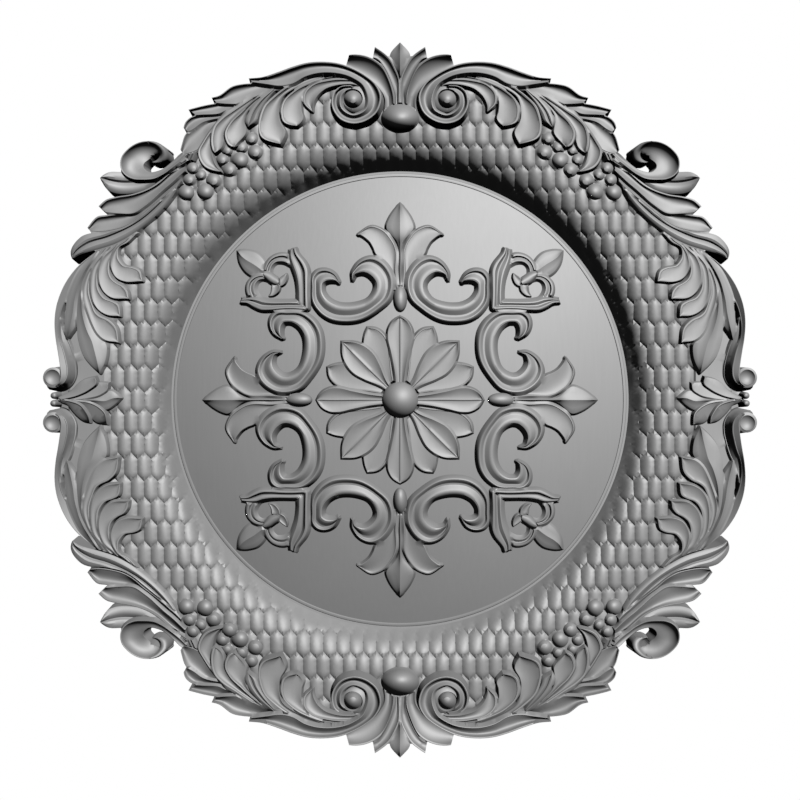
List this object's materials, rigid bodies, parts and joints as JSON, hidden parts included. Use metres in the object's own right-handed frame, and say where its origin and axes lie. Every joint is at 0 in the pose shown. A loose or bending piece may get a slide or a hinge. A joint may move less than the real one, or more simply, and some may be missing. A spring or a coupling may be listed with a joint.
{
  "type": "carved wooden rosette",
  "caption": "Round carved wooden rosette with an acanthus border, a scaled ring and a domed disc with a flower medallion; fixed flat to a wall, ceiling or door.",
  "frame": {"origin": "middle of the flat back", "axes": "+Z towards the top palmette, +X to the viewer's right, the carving faces -Y"},
  "size_m": [0.5902, 0.0581, 0.5924],
  "materials": {
    "grey_primed_wood": "carved wood under a grey satin primer"
  },
  "bodies": {
    "root": {"rosette": "grey_primed_wood"}
  },
  "joints": []
}
